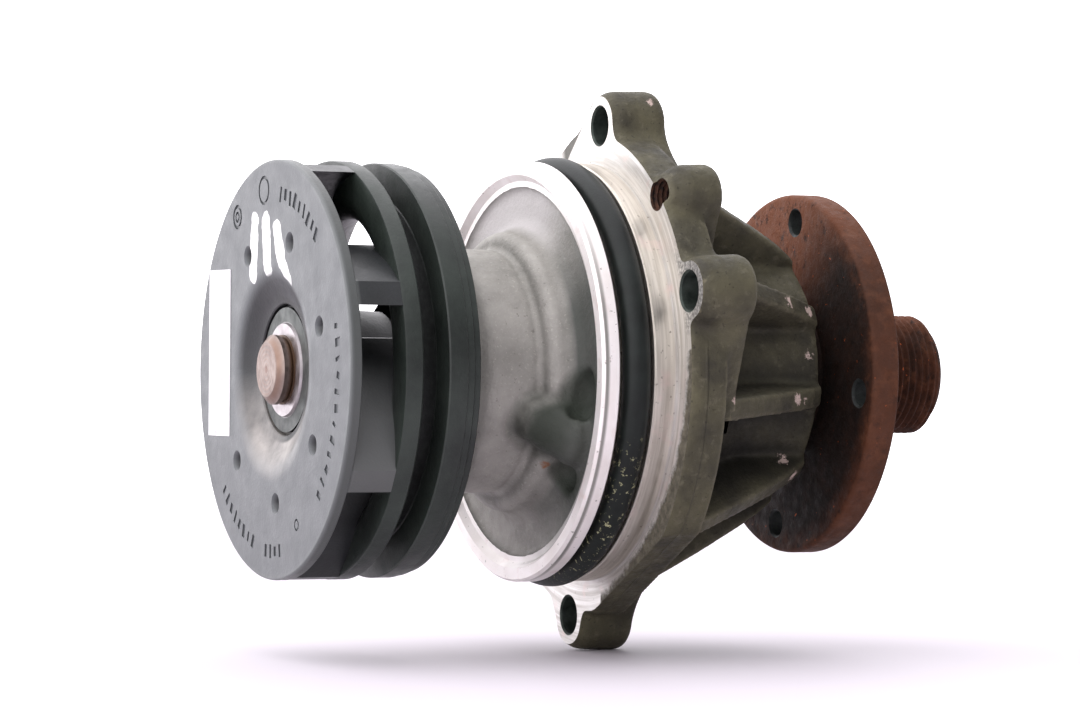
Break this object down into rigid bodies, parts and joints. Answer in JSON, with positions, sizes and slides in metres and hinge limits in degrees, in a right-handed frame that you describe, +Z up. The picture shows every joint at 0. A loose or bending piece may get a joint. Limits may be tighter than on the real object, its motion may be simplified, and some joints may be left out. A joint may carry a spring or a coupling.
{
  "type": "engine coolant pump",
  "caption": "Cartridge water pump with a ribbed aluminium housing, O-ring spigot, closed plastic impeller and rusty fan hub with a threaded stub.",
  "frame": {"origin": "centre of the mounting face, on the pump's axis", "axes": "+X along the shaft from the impeller to the fan hub, +Z up"},
  "size_m": [0.142, 0.1048, 0.1102],
  "materials": {
    "housing": "as cast with machined spigot and faces, oxidised",
    "o_ring": "moulded, used",
    "bearing_outer_ring": "ground",
    "bearing_front_seal": "moulded",
    "bearing_rear_seal": "moulded",
    "seal_case": "drawn",
    "seal_bellows": "moulded",
    "seal_spring": "drawn wire",
    "seal_carbon_ring": "lapped carbon",
    "shaft": "ground, stained",
    "impeller_disc": "moulded glass-filled plastic",
    "impeller_shroud": "moulded glass-filled plastic",
    "impeller_bush": "turned",
    "label": "plain sticker",
    "seal_seat_cup": "moulded",
    "seal_seat_ring": "lapped",
    "slinger": "pressed",
    "fan_hub": "forged and turned, rusted",
    "bearing_balls": "polished",
    "ball_cage": "moulded",
    "bearing_rollers": "polished",
    "roller_cage": "moulded"
  },
  "bodies": {
    "housing": {"housing": "housing", "o_ring": "o_ring", "bearing_outer_ring": "bearing_outer_ring", "bearing_front_seal": "bearing_front_seal", "bearing_rear_seal": "bearing_rear_seal", "seal_case": "seal_case", "seal_bellows": "seal_bellows", "seal_spring": "seal_spring", "seal_carbon_ring": "seal_carbon_ring"},
    "rotor": {"shaft": "shaft", "impeller_disc": "impeller_disc", "impeller_shroud": "impeller_shroud", "impeller_bush": "impeller_bush", "label": "label", "seal_seat_cup": "seal_seat_cup", "seal_seat_ring": "seal_seat_ring", "slinger": "slinger", "fan_hub": "fan_hub"},
    "ball_row": {"bearing_balls": "bearing_balls", "ball_cage": "ball_cage"},
    "roller_row": {"bearing_rollers": "bearing_rollers", "roller_cage": "roller_cage"}
  },
  "joints": [
    {"name": "rotor_spin", "type": "hinge", "parent": "housing", "child": "rotor", "pos_m": [0, 0, 0], "axis": [1, 0, 0], "continuous": true},
    {"name": "ball_row_spin", "type": "hinge", "parent": "housing", "child": "ball_row", "pos_m": [-0.003, 0, 0], "axis": [1, 0, 0], "continuous": true},
    {"name": "roller_row_spin", "type": "hinge", "parent": "housing", "child": "roller_row", "pos_m": [0.023, 0, 0], "axis": [1, 0, 0], "continuous": true}
  ],
  "couplings": [
    {"joint": "ball_row_spin", "follows": "rotor_spin", "ratio": 0.3405},
    {"joint": "roller_row_spin", "follows": "rotor_spin", "ratio": 0.3641}
  ]
}
